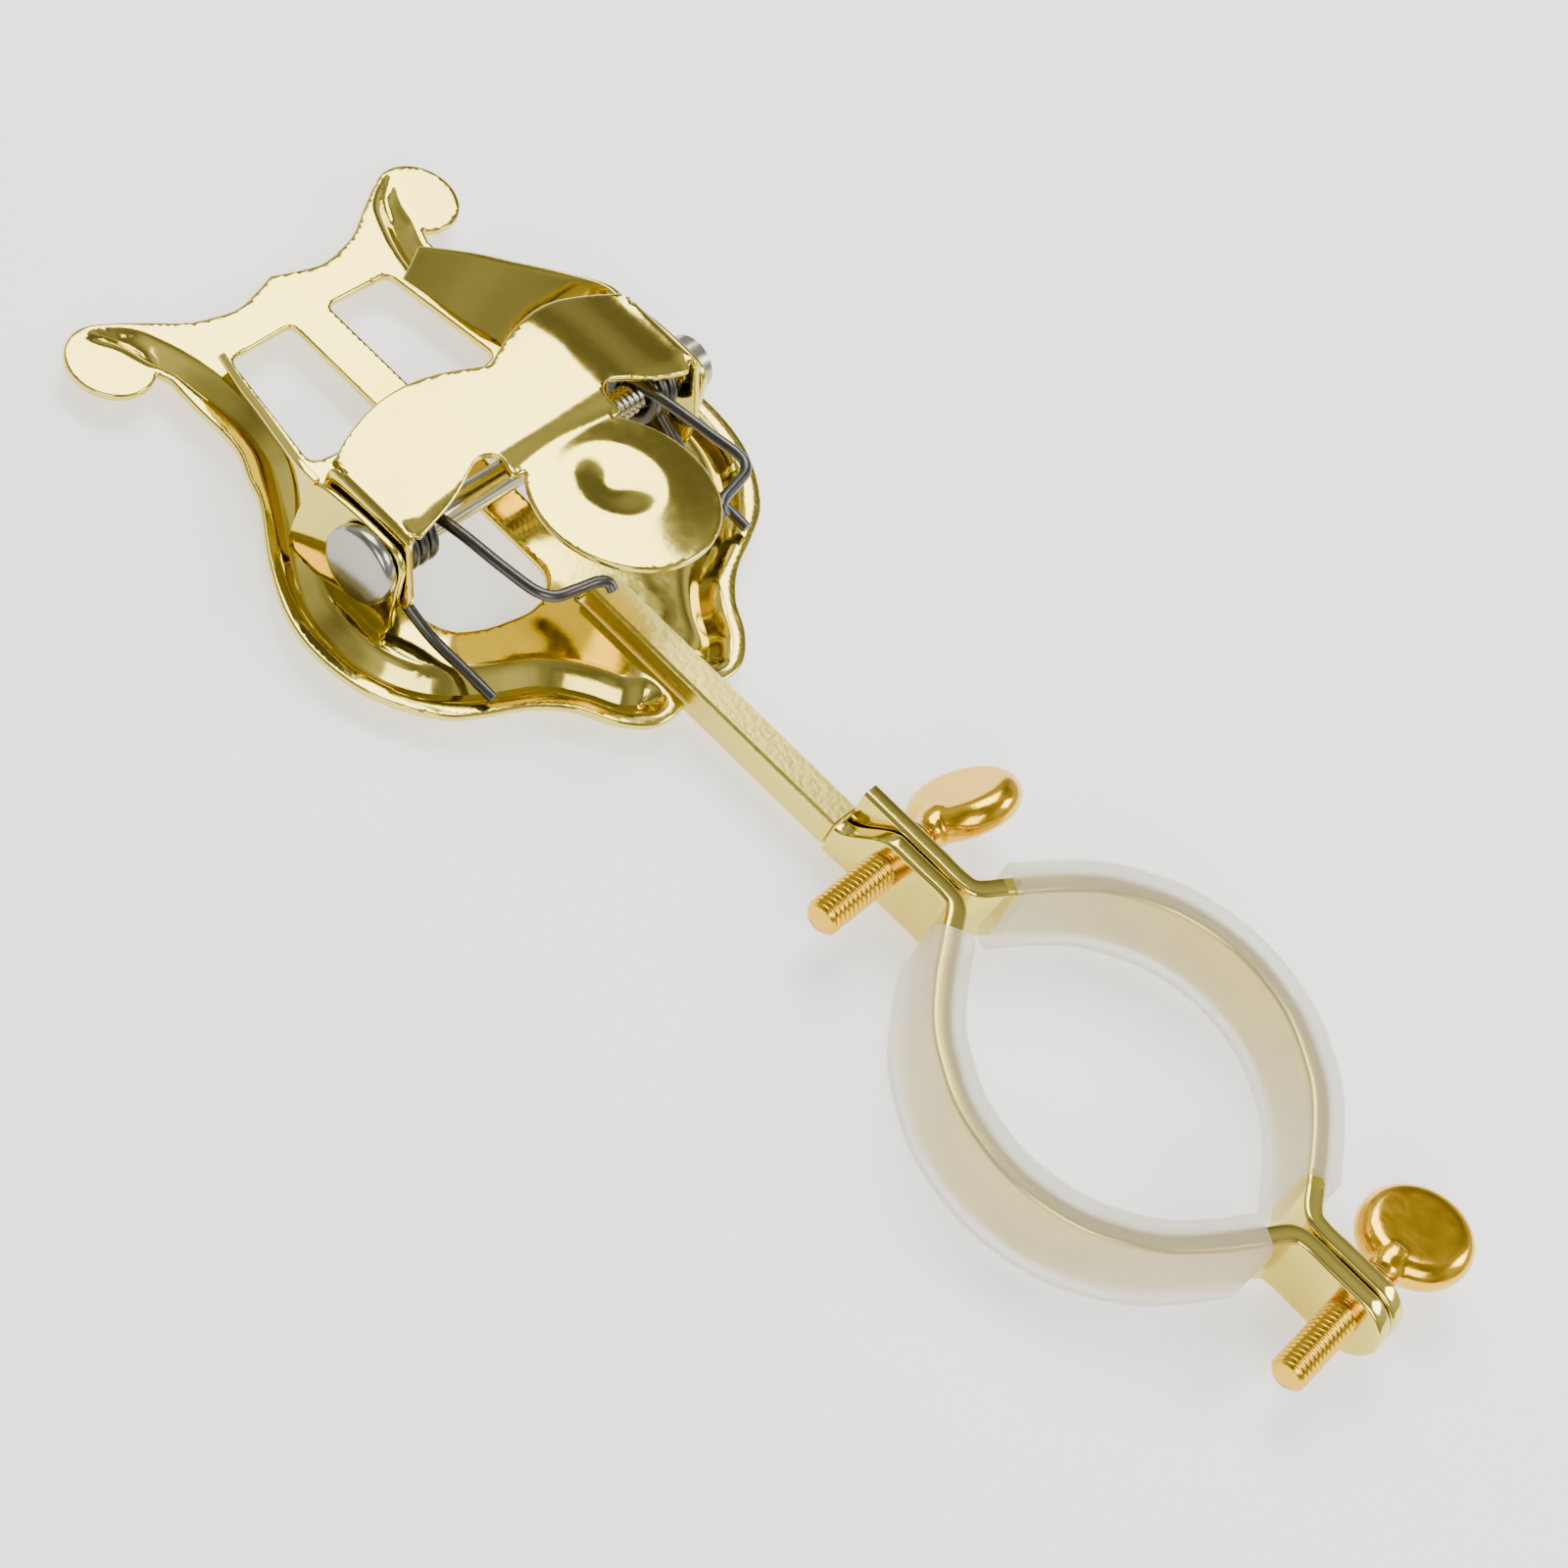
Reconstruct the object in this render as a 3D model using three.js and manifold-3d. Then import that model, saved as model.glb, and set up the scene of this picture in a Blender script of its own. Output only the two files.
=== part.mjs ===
// Clamp-on music lyre for a wind instrument: a pressed lyre plate with a sprung clip, a square stem,
// and a two-half clamp ring with soft sleeves that two thumb screws draw together.
// Millimetres. +Z is the side the clip is on, +Y runs from the clamp to the lyre's horns,
// and the origin is the centre of the clamp ring.
import * as THREE from "three";
import { mergeVertices } from "three/addons/utils/BufferGeometryUtils.js";
import Module from "manifold-3d";

const wasm = await Module();
wasm.setup();

// ---- driving dimensions ----
const LYRE_X = 0; // the lyre's centre line beside the ring's centre
const LYRE_Y = 64.7; // the lyre's own zero along the stem
const LYRE_Z = -2.4; // the plate's top face below the ring's mid-height
const SHEET = 0.9; // pressed sheet
const STEM_W = 4; // square bar
const STEM_Z0 = -1.7;
const STEM_TOP_Y = 9; // stem's upper end, in the plate's slot
const STEM_END_Y = -26.7; // stem's lower end, at the clamp
const PIN_Y = 22.1; // pivot axis, in the lyre's own frame
const PIN_Z = 7.4;
const PIN_R = 1.75;
const EAR_X = 21.75; // inner face of the clip's ear
const LUG_X = 22.95; // inner face of the plate's lug
const HEAD_R = 4.3;
const CLIP_Z = 12.5; // top of the clip's side wings
const WIRE_R = 0.62;
const COIL_R = 2.65;
const COIL_TURNS = 3;
const BAND_T = 2.2; // clamp strip
const BAND_W = 8.2;
const LEAF_GAP = 0.3; // between the two halves' leaves
const SLEEVE_T = 1.15;
const SLEEVE_GAP = 0.25;
const SCREW_R = 2;
const SCREW_HOLE_R = 2.6;
const SCREW_Y = [31.3, -31.7];
const SCREW_TIP_X = -12.3;
const PADDLE_R = 6.25;
const PADDLE_T = 4;
const PADDLE_TURN = [-0.84, -0.21]; // how each paddle stands, in radians about the screw

// ---- materials ----
const gold = (c, r) => new THREE.MeshStandardMaterial({ color: c, roughness: r, metalness: 1 });
const M = {
  plate: gold(0xe3d58a, 0.12),
  clip: gold(0xe6d98f, 0.1),
  stem: gold(0xdfd592, 0.2),
  band: gold(0xece5b0, 0.16),
  screw: gold(0xdca32c, 0.22),
  steel: gold(0x8d8c82, 0.25),
  wire: gold(0x55544f, 0.35),
  sleeve: new THREE.MeshStandardMaterial({ color: 0xefe9d8, roughness: 0.45, metalness: 0, transparent: true, opacity: 0.5 }),
};

// ---- solids ----
function solid(geometry) {
  const g = geometry.clone();
  for (const n of Object.keys(g.attributes)) if (n !== "position") g.deleteAttribute(n);
  const m = mergeVertices(g, 1e-4);
  return new wasm.Manifold(
    new wasm.Mesh({ numProp: 3, vertProperties: m.attributes.position.array, triVerts: new Uint32Array(m.index.array) }),
  );
}
function geometryOf(s) {
  const m = s.getMesh();
  const g = new THREE.BufferGeometry();
  const p = new Float32Array((m.vertProperties.length / m.numProp) * 3);
  for (let i = 0; i < p.length / 3; i++) for (let k = 0; k < 3; k++) p[3 * i + k] = m.vertProperties[i * m.numProp + k];
  g.setAttribute("position", new THREE.BufferAttribute(p, 3));
  g.setIndex(new THREE.BufferAttribute(new Uint32Array(m.triVerts), 1));
  const flat = g.toNonIndexed();
  flat.computeVertexNormals();
  return flat;
}
const V = (x, y, z) => new THREE.Vector3(x, y, z);
const smooth = (a, b, x) => {
  const t = Math.min(1, Math.max(0, (x - a) / (b - a)));
  return t * t * (3 - 2 * t);
};
// A smooth closed outline through points; `loop` adds the mirrored side.
function splinePoints(points, n, closed = false) {
  return new THREE.CatmullRomCurve3(points.map((p) => V(p[0], p[1], 0)), closed, "centripetal")
    .getPoints(n)
    .map((p) => new THREE.Vector2(p.x, p.y));
}
function shapeOf(points) {
  return new THREE.Shape(points.map((p) => (p.isVector2 ? p : new THREE.Vector2(p[0], p[1]))));
}
function mirrored(half) {
  // half runs from the top of the centre line to its bottom on the +X side
  const left = half.slice(1, -1).reverse().map((p) => new THREE.Vector2(-p.x, p.y));
  return half.concat(left);
}
function extrude(shape, depth, z0 = 0, segments = 8) {
  const g = new THREE.ExtrudeGeometry(shape, { depth, bevelEnabled: false, curveSegments: segments });
  g.translate(0, 0, z0);
  return g;
}
// A plate standing in the YZ plane, from x0 to x0 + t.
function upright(shape, x0, t) {
  const g = new THREE.ExtrudeGeometry(shape, { depth: t, bevelEnabled: false, curveSegments: 20 });
  g.applyMatrix4(new THREE.Matrix4().makeBasis(V(0, 1, 0), V(0, 0, 1), V(1, 0, 0)));
  g.translate(x0, 0, 0);
  return g;
}
function rodX(r, x0, x1, y, z, n = 20) {
  const g = new THREE.CylinderGeometry(r, r, x1 - x0, n);
  g.rotateZ(-Math.PI / 2);
  g.translate((x0 + x1) / 2, y, z);
  return g;
}
function mesh(geometry, material, name) {
  const m = new THREE.Mesh(geometry, material);
  m.name = name;
  return m;
}

const part = new THREE.Group();
const lyre = new THREE.Group();
lyre.position.set(LYRE_X, LYRE_Y, LYRE_Z);
part.add(lyre);

// ---- lyre plate: outline on the +X side, from the crossbar's peak down to the bottom edge ----
const outlineTop = [[0, 58.5], [3.4, 57.5], [6.5, 56.9], [9.5, 57.4], [12.3, 58.2], [16, 60.3], [19.2, 62.1]];
const horn = [];
for (let a = 125; a >= -130; a -= 15)
  horn.push([22.9 + 4.85 * Math.cos((a * Math.PI) / 180), 58.5 + 4.85 * Math.sin((a * Math.PI) / 180)]);
const outlineArm = [[19.3, 53.2], [19.5, 48.8], [19.4, 45.3], [19.8, 42.5], [21.2, 39.6], [22.2, 37], [26.8, 30.7], [29.9, 25], [30.9, 20.5], [30.3, 14.7], [28.4, 10.5], [25, 6.5], [21.7, 4.6], [16.3, 2.2], [12.8, -0.6], [10.5, -4], [7.4, -6.5], [4.8, -7], [3, -6.7]];
const half = [
  ...splinePoints(outlineTop, 18),
  ...horn.map((p) => new THREE.Vector2(p[0], p[1])),
  ...splinePoints(outlineArm, 46),
];
const bottomY = half[half.length - 1].y;
half.push(new THREE.Vector2(0, bottomY));
const plateShape = shapeOf(mirrored(half));
const roundPoly = (pts, r, n = 4) => {
  // rounds each corner of a polygon
  const out = [];
  for (let i = 0; i < pts.length; i++) {
    const p = new THREE.Vector2(...pts[i]);
    const a = new THREE.Vector2(...pts[(i + pts.length - 1) % pts.length]);
    const b = new THREE.Vector2(...pts[(i + 1) % pts.length]);
    const da = a.clone().sub(p), db = b.clone().sub(p);
    const k = Math.min(r, da.length() / 2.1, db.length() / 2.1);
    const s = p.clone().addScaledVector(da.normalize(), k);
    const e = p.clone().addScaledVector(db.normalize(), k);
    for (let j = 0; j <= n; j++) {
      const t = j / n;
      out.push(
        s.clone().multiplyScalar((1 - t) * (1 - t)).addScaledVector(p, 2 * t * (1 - t)).addScaledVector(e, t * t),
      );
    }
  }
  return out;
};
const windowUpper = [[2.6, 38.2], [2.6, 52.3], [11.9, 52.1], [14.2, 37.6], [11, 37]];
const windowLower = [[2.6, 29], [2.6, 13.5], [5, 11.5], [8, 10.9], [13.7, 12], [17.2, 13.8], [18.5, 17], [18.5, 27], [14, 31], [4, 31]];
let plate = solid(extrude(plateShape, SHEET, -SHEET));
for (const sx of [1, -1])
  for (const w of [windowUpper, windowLower])
    plate = plate.subtract(solid(extrude(shapeOf(roundPoly(sx > 0 ? w : w.map((p) => [-p[0], p[1]]).reverse(), 1.2)), 4, -2)));
// slot for the stem
const slot = new THREE.BoxGeometry(STEM_W + 0.6, STEM_TOP_Y + 0.3 - bottomY + 10, 6);
slot.translate(0, (STEM_TOP_Y + 0.3 + bottomY - 10) / 2, 0);
plate = plate.subtract(solid(slot));
// side walls leaning outward from beside the windows up to the pivot lugs: foot and ridge of each station
const WALL = [
  [[12.9, 50.8, -0.5], [14.9, 51.6, 3.2]],
  [[14, 46, -0.5], [17.6, 46.8, 5.4]],
  [[15, 41, -0.5], [19.4, 42.7, 7]],
  [[16.6, 36.4, -0.5], [21.7, 37.6, 8.9]],
  [[20.2, 33, -0.5], [23.3, 33.4, 10.2]],
  [[23.4, 30.6, -0.5], [23.4, 30.8, 10.3]],
];
function wall(sx) {
  const foot = new THREE.CatmullRomCurve3(WALL.map((w) => V(...w[0])), false, "centripetal");
  const ridge = new THREE.CatmullRomCurve3(WALL.map((w) => V(...w[1])), false, "centripetal");
  const g = new THREE.BoxGeometry(1, 1, 1, 16, 1, 2);
  const p = g.attributes.position;
  for (let i = 0; i < p.count; i++) {
    const t = p.getX(i) + 0.5, h = p.getZ(i) + 0.5;
    const f = foot.getPoint(t), r = ridge.getPoint(t);
    const up = r.clone().sub(f), along = foot.getTangent(t).lerp(ridge.getTangent(t), 0.5);
    const n = up.clone().cross(along).normalize();
    f.addScaledVector(up, h).addScaledVector(n, p.getY(i) * SHEET);
    p.setXYZ(i, f.x, f.y, f.z);
  }
  const w = solid(g);
  if (w.volume() < 0) throw new Error("wall inside out");
  return sx > 0 ? w : w.mirror([1, 0, 0]);
}
const lugShape = shapeOf(roundPoly([[16.6, -0.4], [31.6, -0.4], [31.4, 10.4], [25.8, 11.2], [18.4, 11.2]], 2.6));
for (const sx of [1, -1]) plate = plate.add(wall(sx)).add(solid(upright(lugShape, sx > 0 ? LUG_X : -LUG_X - SHEET, SHEET)));
plate = plate.subtract(solid(rodX(PIN_R + 0.3, -30, 30, PIN_Y, PIN_Z, 24)));
lyre.add(mesh(geometryOf(plate), M.plate, "lyre_plate"));

// ---- stem: a square bar brazed into the plate's slot ----
const stemG = new THREE.BoxGeometry(STEM_W, STEM_TOP_Y - STEM_END_Y, STEM_W);
stemG.translate(0, (STEM_TOP_Y + STEM_END_Y) / 2, STEM_Z0 + STEM_W / 2);
lyre.add(mesh(stemG, M.stem, "stem_bar"));

// ---- sprung clip: a top sheet with a thumb pad, two ears on the pivot, and a front jaw ----
const padC = [0, 11], PAD_R = 10.3;
const clipPts = [...splinePoints([[0, 30.6], [6.3, 32.9], [13, 33.6], [18.3, 32.5], [22.65, 30.4]], 16), ...splinePoints([[22.65, 19.2], [15, 20.5], [9.8, 22.4], [8.2, 21.4], [8.4, 19]], 10)];
for (let a = 48; a >= -90; a -= 11.5)
  clipPts.push(new THREE.Vector2(padC[0] + PAD_R * Math.cos((a * Math.PI) / 180), padC[1] + PAD_R * Math.sin((a * Math.PI) / 180)));
clipPts[clipPts.length - 1].x = 0;
const clipShape = shapeOf(mirrored(clipPts));
// height of the sheet's underside
function clipHeight(x, y) {
  const ax = Math.abs(x);
  let z = CLIP_Z - SHEET + 1.7 * (1 - smooth(8, 21, ax));
  if (y < 21) z += 0.075 * (21 - y);
  z -= 0.8 * (1 - smooth(2.4, 4.8, Math.hypot(x, y - 12.5)));
  return z;
}
const slab = new THREE.BoxGeometry(45.3, 34.4, SHEET, 20, 20, 1);
slab.translate(0, 17, SHEET / 2);
{
  const p = slab.attributes.position;
  for (let i = 0; i < p.count; i++) p.setZ(i, p.getZ(i) + clipHeight(p.getX(i), p.getY(i)));
}
let clip = solid(slab).intersect(solid(extrude(clipShape, 30, -2)));
const earShape = shapeOf(roundPoly([[19.2, CLIP_Z - 0.1], [30.4, CLIP_Z - 0.1], [30.6, 8], [26, 3.6], [19, 3.2], [16.1, 4.6]], 1.6));
for (const sx of [1, -1]) clip = clip.add(solid(upright(earShape, sx > 0 ? EAR_X : -EAR_X - SHEET, SHEET)));
// jaw: two lips turned down under the front edge, which press the sheet on the plate
const jawShape = shapeOf([[4.6, 0.3], [15.6, 0.3], [16.6, 12.5], [10, 13.7], [3.4, 13.8]]);
for (const sx of [1, -1]) {
  const g = new THREE.ExtrudeGeometry(jawShape, { depth: SHEET, bevelEnabled: false });
  g.applyMatrix4(new THREE.Matrix4().makeBasis(V(1, 0, 0), V(0, 0, 1), V(0, -1, 0)));
  g.translate(0, 31.9, 0);
  const s = solid(g);
  clip = clip.add(sx > 0 ? s : s.mirror([1, 0, 0]));
}
clip = clip.subtract(solid(rodX(PIN_R + 0.3, -30, 30, PIN_Y, PIN_Z, 24)));
lyre.add(mesh(geometryOf(clip), M.clip, "clip_flap"));

// ---- pivot: a rivet pin with a broad head, a matching cap, and a spacer tube between the springs ----
const PIN_END = LUG_X + SHEET;
let pin = solid(rodX(PIN_R, -PIN_END - 0.4, PIN_END + 2.6, PIN_Y, PIN_Z, 20));
const headProfile = (r, t) => [[0, 0], [r * 0.9, 0], [r, 0.45], [r, t - 0.25], [r - 0.25, t], [0, t]].map((p) => new THREE.Vector2(p[0], p[1]));
function disc(r, t, x0, dir) {
  const g = new THREE.LatheGeometry(headProfile(r, t), 28);
  g.rotateZ(-Math.PI / 2);
  if (dir < 0) g.rotateZ(Math.PI);
  g.translate(x0, PIN_Y, PIN_Z);
  return g;
}
function outward(g) {
  const s = solid(g);
  return s;
}
pin = pin.add(outward(disc(HEAD_R, 1.6, -PIN_END - 0.3, -1)));
lyre.add(mesh(geometryOf(pin), M.steel, "pivot_screw"));
let cap = outward(disc(3.2, 2.2, PIN_END + 0.3, 1)).subtract(solid(rodX(PIN_R + 0.1, PIN_END - 1, PIN_END + 4, PIN_Y, PIN_Z, 20)));
lyre.add(mesh(geometryOf(cap), M.steel, "pivot_nut"));

// ---- torsion springs: lower leg on the plate, coil round the pin, upper leg under the thumb pad ----
function springPath(sx) {
  const pts = [];
  pts.push([20.2, 5, 1.1], [20.3, 9, 1.2], [20.6, 14, 1.6], [20.9, 18.5, 3.2]);
  const steps = 12, x0 = 20.9, x1 = 16.1;
  const a0 = (-95 * Math.PI) / 180, total = COIL_TURNS * 2 * Math.PI + (185 * Math.PI) / 180;
  const n = Math.round((steps * total) / (2 * Math.PI));
  for (let i = 0; i <= n; i++) {
    const t = i / n, a = a0 + total * t;
    pts.push([x0 + (x1 - x0) * t, PIN_Y + COIL_R * Math.cos(a), PIN_Z + COIL_R * Math.sin(a)]);
  }
  pts.push([16.1, 17.5, 11.1], [16.2, 12, 12], [16, 7.6, 12.8], [15, 6.3, 12.9], [12.5, 5.6, 13], [9.8, 5, 13], [8.9, 4.4, 12.9], [8.8, 3.6, 12.4]);
  return pts.map((p) => V(sx * p[0], p[1], p[2]));
}
const wireShape = new THREE.Shape([...Array(6).keys()].map((k) => new THREE.Vector2(WIRE_R * Math.cos((k * Math.PI) / 3), WIRE_R * Math.sin((k * Math.PI) / 3))));
for (const [sx, name] of [[-1, "spring_left"], [1, "spring_right"]]) {
  const path = new THREE.CatmullRomCurve3(springPath(sx), false, "centripetal");
  const g = new THREE.ExtrudeGeometry(wireShape, { steps: 130, extrudePath: path, bevelEnabled: false });
  lyre.add(mesh(g, M.wire, name));
}

// ---- clamp ring: two bent strips with straight leaves at both ends ----
const ringHalf = [[1.7, 23.1], [5, 21], [9.7, 18.2], [14, 15], [16.8, 11.7], [19.4, 7.2], [20.8, 0]];
const LEAF_TOP = 37.7, LEAF_BOTTOM = -36.3;
function bandLine(sx) {
  const c = LEAF_GAP / 2 + BAND_T / 2;
  const p = [[c, LEAF_TOP], [c, 33], [c, 28], [c, 24.6]];
  for (const q of ringHalf) p.push([q[0], q[1]]);
  for (const q of ringHalf.slice(0, -1).reverse()) p.push([q[0], -q[1]]);
  p.push([c, -24.6], [c, -28], [c, -32], [c, LEAF_BOTTOM]);
  return p.map((q) => V(sx * q[0], q[1], 0));
}
const rect = (w, t) => new THREE.Shape([new THREE.Vector2(-w / 2, -t / 2), new THREE.Vector2(w / 2, -t / 2), new THREE.Vector2(w / 2, t / 2), new THREE.Vector2(-w / 2, t / 2)]);
function swept(line, w, t, steps) {
  return solid(new THREE.ExtrudeGeometry(rect(w, t), { steps, extrudePath: new THREE.CatmullRomCurve3(line, false, "centripetal"), bevelEnabled: false }));
}
for (const [sx, name] of [[-1, "clamp_band_front"], [1, "clamp_band_rear"]]) {
  let b = swept(bandLine(sx), BAND_W, BAND_T, 64);
  for (const y of SCREW_Y) b = b.subtract(solid(rodX(SCREW_HOLE_R, -6, 6, y, 0, 24)));
  // rounded lower end of the leaf
  const trim = new THREE.Shape();
  trim.moveTo(LEAF_BOTTOM - 3, -6);
  trim.lineTo(LEAF_BOTTOM + 4.1, -6);
  trim.lineTo(LEAF_BOTTOM + 4.1, -4.1);
  trim.absarc(LEAF_BOTTOM + 4.1, 0, 4.1, -Math.PI / 2, -Math.PI * 1.5, true);
  trim.lineTo(LEAF_BOTTOM + 4.1, 6);
  trim.lineTo(LEAF_BOTTOM - 3, 6);
  const cut = solid(upright(trim, -8, 16));
  b = b.subtract(cut);
  part.add(mesh(geometryOf(b), M.band, name));
}

// ---- soft sleeves over the curved part of each half ----
function sleeveLine(sx) {
  const all = bandLine(sx);
  const c = new THREE.CatmullRomCurve3(all, false, "centripetal");
  const pts = c.getPoints(240).filter((p) => Math.abs(p.y) < 20.9);
  return pts.filter((_, i) => i % 6 === 0 || i === pts.length - 1);
}
for (const [sx, name] of [[-1, "sleeve_front"], [1, "sleeve_rear"]]) {
  const line = sleeveLine(sx);
  const out = BAND_T + 2 * (SLEEVE_T + SLEEVE_GAP), hi = BAND_W + 2 * (SLEEVE_T + SLEEVE_GAP);
  let s = swept(line, hi, out, 30).subtract(swept(bandLine(sx), BAND_W + 2 * SLEEVE_GAP, BAND_T + 2 * SLEEVE_GAP, 128));
  part.add(mesh(geometryOf(s), M.sleeve, name));
}

// ---- thumb screws: threaded shank, collar and a coin-shaped paddle ----
for (const [i, name] of [[0, "upper_thumb_screw"], [1, "lower_thumb_screw"]]) {
  const y = SCREW_Y[i];
  const leaf = LEAF_GAP / 2 + BAND_T + 0.3;
  let s = solid(rodX(SCREW_R, SCREW_TIP_X + 0.6, leaf + 0.5, y, 0, 20));
  const tip = new THREE.CylinderGeometry(1.35, SCREW_R, 0.62, 20);
  tip.rotateZ(Math.PI / 2);
  tip.translate(SCREW_TIP_X + 0.3, y, 0);
  s = s.add(solid(tip));
  const collar = [[0, 0], [2.9, 0], [2.9, 1.0], [2.1, 1.6], [1.8, 3.0], [2.0, 4.6], [0, 5.2]].map((p) => new THREE.Vector2(p[0], p[1]));
  const cg = new THREE.LatheGeometry(collar, 20);
  cg.rotateZ(-Math.PI / 2);
  cg.translate(leaf, y, 0);
  s = s.add(solid(cg));
  const e = [[0, -PADDLE_T / 2], [PADDLE_R - 1.1, -PADDLE_T / 2], [PADDLE_R - 0.3, -PADDLE_T / 2 + 0.5], [PADDLE_R, 0], [PADDLE_R - 0.3, PADDLE_T / 2 - 0.5], [PADDLE_R - 1.1, PADDLE_T / 2], [0, PADDLE_T / 2]].map((p) => new THREE.Vector2(p[0], p[1]));
  const pg = new THREE.LatheGeometry(e, 28);
  pg.rotateX(Math.PI / 2); // the coin's axis along Z
  pg.rotateX(PADDLE_TURN[i]);
  pg.translate(leaf + 3.2 + PADDLE_R, y, 0);
  s = s.add(solid(pg));
  part.add(mesh(geometryOf(s), M.screw, name));
}

export default part;
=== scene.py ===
import bpy, bmesh, math
import numpy as np
from mathutils import Vector, Matrix
from mathutils.geometry import delaunay_2d_cdt


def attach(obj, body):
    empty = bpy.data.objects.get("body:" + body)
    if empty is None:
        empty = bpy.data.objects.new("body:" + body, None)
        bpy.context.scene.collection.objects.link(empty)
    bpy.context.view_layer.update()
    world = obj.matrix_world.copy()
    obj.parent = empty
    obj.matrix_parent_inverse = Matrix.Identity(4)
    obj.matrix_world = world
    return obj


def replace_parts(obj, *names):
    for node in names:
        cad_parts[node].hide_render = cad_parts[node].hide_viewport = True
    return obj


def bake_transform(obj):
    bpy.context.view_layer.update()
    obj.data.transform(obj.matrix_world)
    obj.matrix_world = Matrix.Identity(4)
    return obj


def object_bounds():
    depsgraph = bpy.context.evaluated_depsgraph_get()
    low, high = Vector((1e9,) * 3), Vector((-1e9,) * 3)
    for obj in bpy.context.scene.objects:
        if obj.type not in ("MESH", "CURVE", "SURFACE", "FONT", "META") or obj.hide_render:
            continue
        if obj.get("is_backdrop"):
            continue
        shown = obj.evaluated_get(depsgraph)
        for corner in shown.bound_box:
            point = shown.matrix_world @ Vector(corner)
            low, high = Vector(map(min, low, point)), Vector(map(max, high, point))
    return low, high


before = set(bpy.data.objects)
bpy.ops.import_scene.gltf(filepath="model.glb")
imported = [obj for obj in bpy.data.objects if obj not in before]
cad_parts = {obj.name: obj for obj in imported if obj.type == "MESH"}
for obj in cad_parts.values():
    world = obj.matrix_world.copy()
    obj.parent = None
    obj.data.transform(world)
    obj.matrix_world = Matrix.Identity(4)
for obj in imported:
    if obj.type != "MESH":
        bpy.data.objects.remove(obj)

lo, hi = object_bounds()
CAD_BOX = [list(map(float, lo)), list(map(float, hi))]
MM = 0.001
OFF = Vector((0, 64.7, -2.4))          # lyre frame to row frame
PIN = Vector((0, 22.1, 7.4))


# ---------- helpers ----------
def link(me, name, mat, body, smooth=True, sharp=35):
    o = bpy.data.objects.new(name, me)
    bpy.context.scene.collection.objects.link(o)
    me.materials.append(mat)
    if smooth:
        me.polygons.foreach_set("use_smooth", [True] * len(me.polygons))
        me.set_sharp_from_angle(angle=math.radians(sharp))
    if body:
        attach(o, body)
    return o


def from_py(verts, faces, name, off=None):
    me = bpy.data.meshes.new(name)
    k = off or Vector((0, 0, 0))
    me.from_pydata([tuple((Vector(v) + k) * MM) for v in verts], [], faces)
    bm = bmesh.new(); bm.from_mesh(me)
    bmesh.ops.remove_doubles(bm, verts=bm.verts, dist=1e-7)
    bmesh.ops.recalc_face_normals(bm, faces=bm.faces)
    bm.to_mesh(me); bm.free()
    return me


def bake(o):
    """Put the result of the modifiers in the mesh."""
    bpy.context.view_layer.update()
    d = bpy.context.evaluated_depsgraph_get()
    me = bpy.data.meshes.new_from_object(o.evaluated_get(d))
    o.modifiers.clear()
    o.data = me
    return o


def smooth(a, b, x):
    t = min(1.0, max(0.0, (x - a) / (b - a)))
    return t * t * (3 - 2 * t)


def spline(pts, n, closed=False):
    """Centripetal Catmull-Rom through points, n points evenly in parameter."""
    P = [Vector(p) for p in pts]
    out = []
    m = len(P) if closed else len(P) - 1
    for i in range(n + (0 if closed else 1)):
        u = m * i / n
        j = min(int(u), m - 1); w = u - j
        g = lambda k: P[k % len(P)] if closed else (P[k] if 0 <= k < len(P) else (2 * P[0] - P[1] if k < 0 else 2 * P[-1] - P[-2]))
        a, b, c, d = g(j - 1), g(j), g(j + 1), g(j + 2)
        d0 = max((b - a).length ** .5, 1e-4); d1 = max((c - b).length ** .5, 1e-4); d2 = max((d - c).length ** .5, 1e-4)
        t1 = ((b - a) / d0 - (c - a) / (d0 + d1) + (c - b) / d1) * d1
        t2 = ((c - b) / d1 - (d - b) / (d1 + d2) + (d - c) / d2) * d1
        out.append(b * (2*w**3 - 3*w*w + 1) + t1 * (w**3 - 2*w*w + w) + c * (-2*w**3 + 3*w*w) + t2 * (w**3 - w*w))
    return out


def mirrored(half):
    return half + [Vector((-p[0], p[1])) for p in half[::-1] if abs(p[0]) > 1e-6]


def rounded(pts, r, n=5):
    out = []
    for i in range(len(pts)):
        p = Vector(pts[i]); a = Vector(pts[i - 1]) - p; b = Vector(pts[(i + 1) % len(pts)]) - p
        k = min(r, a.length / 2.1, b.length / 2.1)
        s = p + a.normalized() * k; e = p + b.normalized() * k
        for j in range(n + 1):
            t = j / n
            out.append(s * (1-t)**2 + p * (2*t*(1-t)) + e * t * t)
    return out


def resample(poly, step):
    out = []
    for i in range(len(poly)):
        a = Vector(poly[i][:2]); b = Vector(poly[(i + 1) % len(poly)][:2])
        L = (b - a).length
        if L < 1e-6:
            continue
        for j in range(max(1, round(L / step))):
            out.append(a.lerp(b, j / max(1, round(L / step))))
    return out


def inside(P, poly):
    x, y = P[:, 0], P[:, 1]
    c = np.zeros(len(P), bool)
    q = np.array([tuple(v)[:2] for v in poly]); r = np.roll(q, 1, 0)
    for (x1, y1), (x2, y2) in zip(q, r):
        with np.errstate(divide="ignore", invalid="ignore"):
            c ^= ((y1 > y) != (y2 > y)) & (x < (x2 - x1) * (y - y1) / (y2 - y1 + 1e-15) + x1)
    return c


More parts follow.
